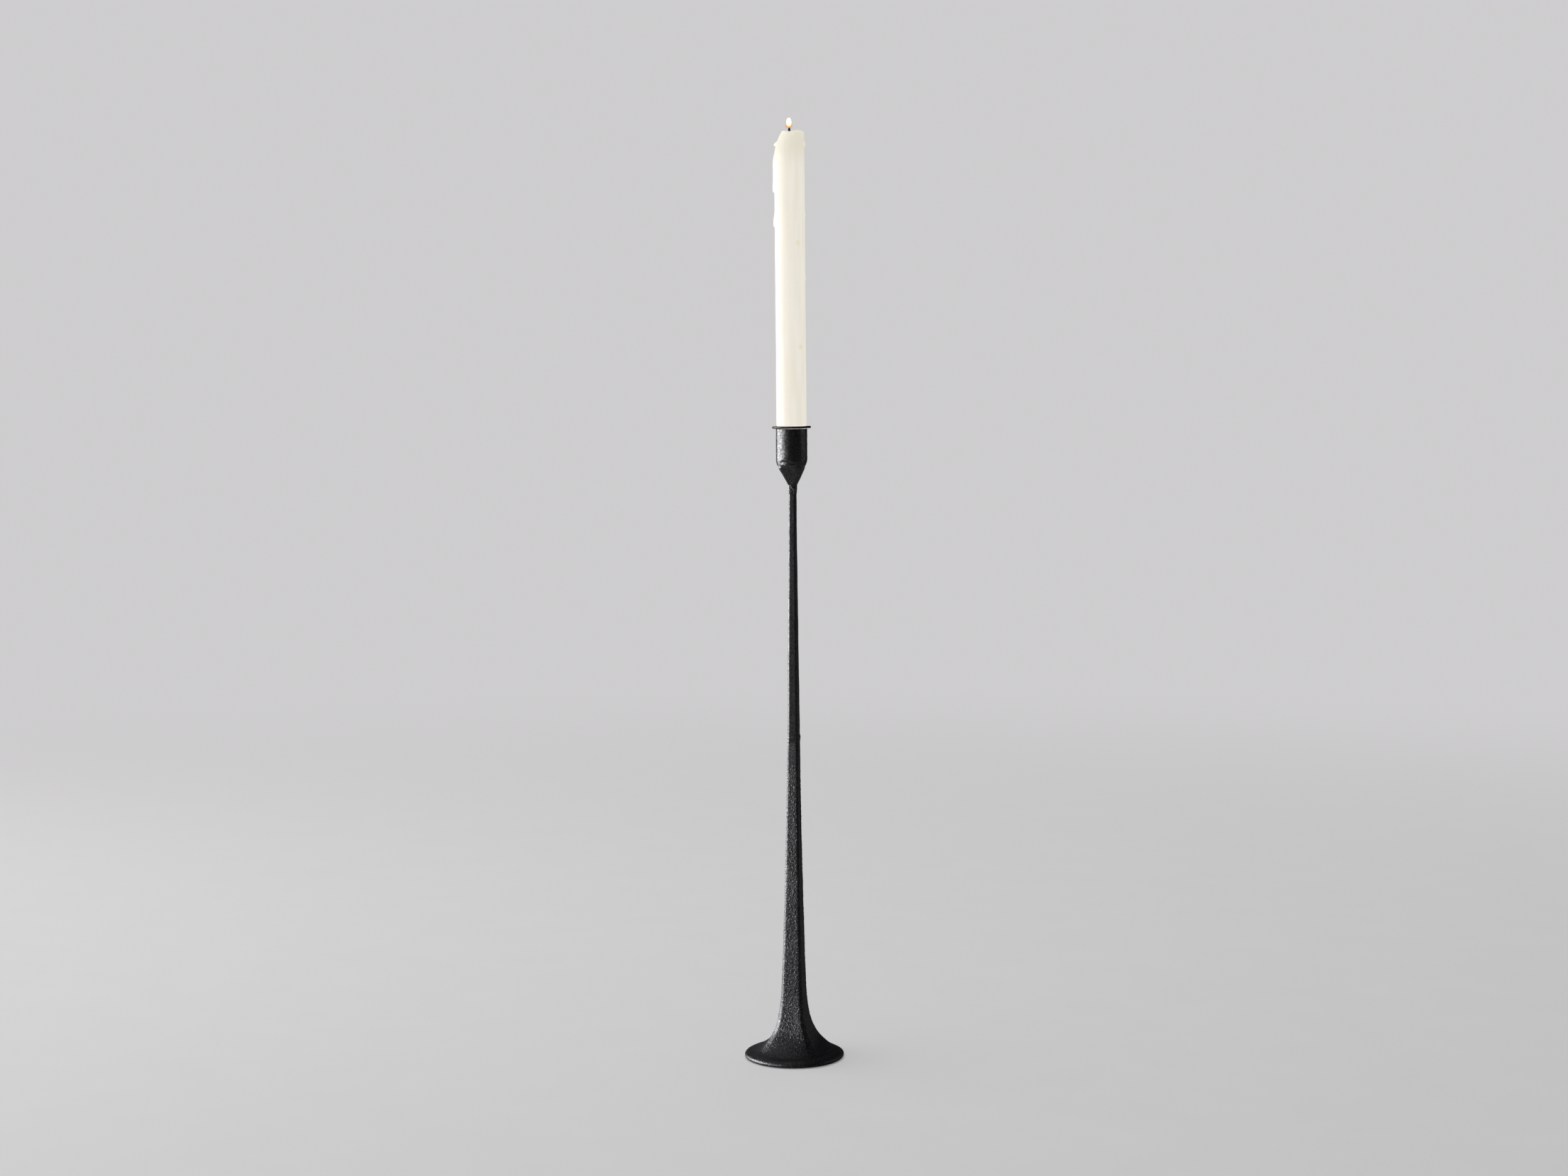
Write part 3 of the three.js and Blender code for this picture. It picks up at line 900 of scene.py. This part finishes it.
def side_heights(base):
    """Heights of the level rings up the side, closer together where wax has run and melted."""
    plain = np.arange(base + 0.6, RUNS_BOTTOM, 1.6)
    with_runs = np.arange(RUNS_BOTTOM, MELT_BOTTOM, 0.7)
    melted = np.arange(MELT_BOTTOM, CANDLE_TOP - 3, 0.33)
    return np.concatenate([plain, with_runs, melted])


def lip_rings(angles, lip, start):
    """Rings from the height start to the lip, slanting more and more to follow it, and then
    rounding over it."""
    rings = []
    for share in np.linspace(0.12, 1, 8):
        z = start + (lip - LIP_ROUND - start) * share
        rings.append(ring(angles, CANDLE_RADIUS - burnt_away(angles, z), z))
    wall = CANDLE_RADIUS - burnt_away(angles, lip - LIP_ROUND)
    for turn in np.radians(np.linspace(15, 90, 6)):
        radii = wall - LIP_ROUND * (1 - math.cos(turn))
        rings.append(ring(angles, radii, lip - LIP_ROUND * (1 - math.sin(turn))))
    return rings + pool_rings(angles, wall - LIP_ROUND, lip)


def pool_rings(angles, lip_radii, lip):
    """The hollow inside the lip, down to the level melt pool round the wick."""
    pool_level = CANDLE_TOP - POOL_DEPTH
    innermost = 0.55
    rings = []
    for share in np.linspace(0.06, 1, 14):
        radii = lip_radii + (innermost - lip_radii) * share
        fall = smooth(0.0, 0.45, share)
        rings.append(ring(angles, radii, lip + (pool_level - lip) * fall))
    return rings


def candle_rings():
    """The whole candle, from its bottom up its side and over its lip to the wick."""
    angles = around(CANDLE_COLUMNS)
    base = RIM_TOP + SHOULDER_GAP
    heights = side_heights(base)
    rings = plug_rings(angles, base)
    for z in heights:
        radii = CANDLE_RADIUS + wax_flow(angles, z) - burnt_away(angles, z)
        rings.append(ring(angles, radii, z))
    return rings + lip_rings(angles, lip_height(angles), heights[-1])


def with_beads(points):
    """The points with drooping beads added, which hang a little over their own lower edge."""
    angle = np.arctan2(points[:, 1], points[:, 0])
    radius = np.hypot(points[:, 0], points[:, 1])
    outward = points * [1, 1, 0] / np.maximum(radius, 1)[:, None]
    moved = points.copy()
    for direction, z, half_width, half_height, proud, droop in WAX_BEADS:
        across = turn_from(angle, direction) * CANDLE_RADIUS / half_width
        along = (points[:, 2] - z) / half_height
        on_wall = smooth(4, 6, radius)
        swell = np.clip(1 - across**2 - along**2, 0, 1) ** 0.6 * on_wall
        moved += outward * (proud * swell)[:, None]
        moved[:, 2] -= droop * proud * swell
    return moved


def wax_skin(points):
    """Soft vertical streaks and a slight unevenness, on the outside only."""
    radius = np.hypot(points[:, 0], points[:, 1])
    outside = smooth(4, 7, radius) * smooth(RIM_TOP, RIM_TOP + 3, points[:, 2])
    streaks = lumps(points, np.array([4.0, 4.0, 55.0]), 2.5)
    uneven = lumps(points, np.array([9.0, 9.0, 14.0]), 9.5)
    return (0.12 * streaks + 0.1 * uneven + 0.03 * lumps(points, 2.0)) * outside


def stained(points):
    """How yellow the wax is at each point, up to 0.55 at the middle of a stain."""
    angle = np.arctan2(points[:, 1], points[:, 0])
    stain = np.zeros(len(points))
    for direction, z, half_size in WAX_STAINS:
        across = turn_from(angle, direction) * CANDLE_RADIUS
        stain += hump(np.hypot(across, points[:, 2] - z), 0, half_size)
    return 0.55 * np.clip(stain, 0, 1)


def build_candle():
    """The candle, with its wax runs, beads and stains, leaning a little to the left."""
    mesh = ring_mesh("candle_body", candle_rings())
    set_points(mesh, with_beads(points_of(mesh)))
    roughen(mesh, wax_skin)
    points = points_of(mesh)
    store(mesh, "stain", stained(points))
    points[:, 0] += candle_lean(points[:, 2])
    set_points(mesh, points)
    return piece(mesh, candle_wax(), "candle", "candle_wax")


def wick_bend(z):
    """How far the wick stands to the right, by height. Its tip curls a little to the left."""
    return candle_lean(z) + 0.15 - 0.3 * np.clip((z - (WICK_TOP - 4)) / 4, 0, 1) ** 2


def build_wick():
    """A twisted cord of three strands, charred and rounded at its tip."""
    angles = around(36)
    tip = WICK_TOP - 1.3
    round_from = tip - 1.1
    in_the_wax = np.arange(WICK_BOTTOM, tip - 10, 3.0)
    in_sight = np.arange(tip - 10, tip, 0.15)
    rings = []
    for z in np.concatenate([in_the_wax, in_sight]):
        strands = 1 + 0.16 * np.cos(3 * (angles - z * 1.1))
        over_the_tip = max(z - round_from, 0) / 1.12
        taper = math.sqrt(max(1 - over_the_tip**2, 0.02))
        points = ring(angles, WICK_RADIUS * strands * taper, z)
        points[:, 0] += wick_bend(z)
        rings.append(points)
    mesh = ring_mesh("wick_cord", rings)
    roughen(mesh, lambda p: 0.1 * lumps(p, 0.7))
    return piece(mesh, charred_cotton(), "candle", "wick")


def build_flame():
    """A short bullet of flame, hollow underneath where the unburnt wax vapour is."""
    angles = around(48)
    base = WICK_TOP - 1.9
    height = 7.9
    half_width = 2.55
    hollow = 1.7
    rings = []
    for share in np.linspace(0, 1, 9):
        radius = 0.05 + (half_width * 0.93 - 0.05) * share
        rings.append(ring(angles, radius, base + hollow * (1 - share**2)))
    for share in np.linspace(0.06, 0.985, 26):
        belly = math.sqrt(1 - share**2.3)
        radius = half_width * belly * (0.93 + 0.07 * min(share / 0.25, 1))
        rings.append(ring(angles, radius, base + height * share))
    mesh = ring_mesh("flame", rings)
    points = points_of(mesh)
    store(mesh, "rise", (points[:, 2] - base) / height)
    points[:, 0] += candle_lean(WICK_TOP) - 0.15
    set_points(mesh, points)
    return piece(mesh, candle_flame(), "candle")


def build_felt():
    """The felt disc under the foot, with a soft edge and a slight nap."""
    angles = around(128)
    soft = 0.35
    flat_radius = FELT_RADIUS - soft
    middle = (FELT_BOTTOM + FELT_TOP) / 2
    half_height = FELT_TOP - middle
    flat_reaches = np.linspace(2, flat_radius, 16)
    outline = [(reach, FELT_BOTTOM) for reach in flat_reaches]
    for turn in np.radians(np.linspace(-60, 60, 5)):
        reach = flat_radius + soft * math.cos(turn)
        outline.append((reach, middle + half_height * math.sin(turn)))
    outline += [(reach, FELT_TOP) for reach in flat_reaches[::-1]]

    def nap(points):
        above_the_table = smooth(0.2, 0.6, points[:, 2])
        return 0.08 * lumps(points, 1.3) * above_the_table

    mesh = ring_mesh("felt_disc", [ring(angles, reach, z) for reach, z in outline])
    roughen(mesh, nap)
    return piece(mesh, black_felt(), "holder", "felt_pad")


build_candle()
build_wick()
build_flame()
build_felt()


# ---------------------------------------------------------------- floor, light and camera

BACKDROP = (0.62, 0.61, 0.62)
DARK_ROOM = (0.03, 0.031, 0.034)
FLOOR_REACH = 40.0  # in metres, as are all the sizes below
FADE_START = 0.3
FADE_END = 2.4


def pale_floor():
    """Pale to the camera, and dark in the iron's reflections, as a wooden table is. It fades into
    the backdrop, so that no horizon shows."""
    made = bpy.data.materials.new("pale_floor")
    tree = Tree(made)
    is_camera = tree.add("LightPath").outputs["Is Camera Ray"]
    pale = tree.mix(tree.noise(60, detail=2), (0.7, 0.695, 0.69), (0.74, 0.735, 0.73))
    colour = tree.mix(is_camera, (0.1, 0.097, 0.093), pale)
    roughness = tree.mix(is_camera, (0.3, 0.3, 0.3), (0.85, 0.85, 0.85))
    shader = tree.surface(Base_Color=colour, Roughness=roughness)
    distance = tree.add("VectorMath", {"operation": "LENGTH"})
    tree.links.new(tree.position(), distance.inputs[0])
    faded = tree.smooth_step(distance.outputs["Value"], FADE_START, FADE_END, 0.35, 1)
    glow = tree.add("Emission", Color=(*BACKDROP, 1), Strength=1.0)
    share = tree.maths("MULTIPLY", faded, is_camera)
    mixed = tree.add("MixShader", Fac=share)
    tree.links.new(shader.outputs[0], mixed.inputs[1])
    tree.links.new(glow.outputs[0], mixed.inputs[2])
    out = next(n for n in tree.nodes if n.type == "OUTPUT_MATERIAL")
    tree.links.new(mixed.outputs[0], out.inputs["Surface"])
    return made


def build_floor():
    """A wide flat floor, level with the felt's underside."""
    mesh = bpy.data.meshes.new("floor")
    far = FLOOR_REACH
    corners = [(-far, -far, 0), (far, -far, 0), (far, far, 0), (-far, far, 0)]
    mesh.from_pydata(corners, [], [(0, 1, 2, 3)])
    mesh.materials.append(pale_floor())
    floor = bpy.data.objects.new("floor", mesh)
    bpy.context.scene.collection.objects.link(floor)


def build_world():
    """Pale behind the object, and dark in its reflections, as in a studio with dark walls."""
    world = bpy.data.worlds.new("studio")
    bpy.context.scene.world = world
    tree = Tree(world)
    seen = tree.add("Background", Color=(*BACKDROP, 1), Strength=1.0)
    lighting = tree.add("Background", Color=(*DARK_ROOM, 1), Strength=1.0)
    is_camera = tree.add("LightPath").outputs["Is Camera Ray"]
    mixed = tree.add("MixShader", Fac=is_camera)
    tree.links.new(lighting.outputs[0], mixed.inputs[1])
    tree.links.new(seen.outputs[0], mixed.inputs[2])
    out = tree.add("OutputWorld")
    tree.links.new(mixed.outputs[0], out.inputs["Surface"])


def softbox(name, place, target, width, height, power):
    """A rectangular light at a place, facing a target. The camera can't see it."""
    light = bpy.data.lights.new(name, "AREA")
    light.shape = "RECTANGLE"
    light.size = width
    light.size_y = height
    light.energy = power
    made = bpy.data.objects.new(name, light)
    bpy.context.scene.collection.objects.link(made)
    made.location = place
    made.visible_camera = False
    aim = Vector(target) - Vector(place)
    made.rotation_euler = aim.to_track_quat("-Z", "Y").to_euler()
    return made


def shine_only_on(light, object_name):
    """Limits a light to one object."""
    lit = bpy.data.collections.new("lit_by_" + light.name)
    lit.objects.link(bpy.data.objects[object_name])
    light.light_linking.receiver_collection = lit


def build_panels():
    """Tall panels, bright on the left and faint in front and on the right. Those on the left and
    in front stand on the floor, because upright iron seen from above mirrors what is low."""
    height = 0.84
    middle = height / 2
    aim = (0, 0, middle)
    softbox("key", (-2.1, 0.5, middle), aim, 2.2, height, 27)
    softbox("key_edge", (-2.05, -0.95, middle), aim, 0.9, height, 4.5)
    softbox("front_fill", (-1.6, -1.9, middle), aim, 1.3, height, 0.45)
    right_fill = softbox("right_fill", (2.6, 0.4, 1.0), (0, 0, 1.0), 2.4, 2.0, 1.5)
    right_fill.visible_diffuse = False


def build_foot_strips():
    """Strips close to the casting, seen only in its gloss. The casting is too low to mirror the
    panels."""
    strips = [
        softbox("low_left", (-0.42, 0, 0.1), (0, 0, 0.1), 0.58, 0.2, 2.6),
        softbox("low_front", (-0.27, -0.32, 0.12), (0, 0, 0.12), 0.3, 0.24, 0.04),
        softbox("low_right", (0.4, 0.12, 0.1), (0, 0, 0.1), 0.4, 0.2, 0.03),
    ]
    for strip in strips:
        strip.visible_diffuse = False
        shine_only_on(strip, "foot_casting")


def build_overhead_lights():
    """A soft light over everything, and one for the floor alone."""
    softbox("top", (-0.6, 0.2, 2.8), (0, 0, 0.36), 1.6, 1.6, 3)
    floor_light = softbox("floor_light", (-0.4, 0.6, 3.0), (0, 0.6, 0), 4.0, 4.0, 95)
    shine_only_on(floor_light, "floor")


def build_camera():
    """The camera stands a little above the rim and looks slightly down."""
    pitch = math.radians(4.54)
    roll = math.radians(0.3)
    to_the_left = 0.0056
    distance = 1.881
    over_the_rim = 0.0259
    data = bpy.data.cameras.new("camera")
    data.sensor_width = 36
    data.lens = 56.64
    data.clip_start = 0.05
    camera = bpy.data.objects.new("camera", data)
    bpy.context.scene.collection.objects.link(camera)
    camera.location = (-to_the_left, -distance, RIM_TOP * MM + over_the_rim)
    camera.rotation_euler = (math.radians(90) - pitch, roll, 0)
    bpy.context.scene.camera = camera


build_floor()
build_world()
build_panels()
build_foot_strips()
build_overhead_lights()
build_camera()
bpy.context.scene.view_settings.view_transform = "Standard"
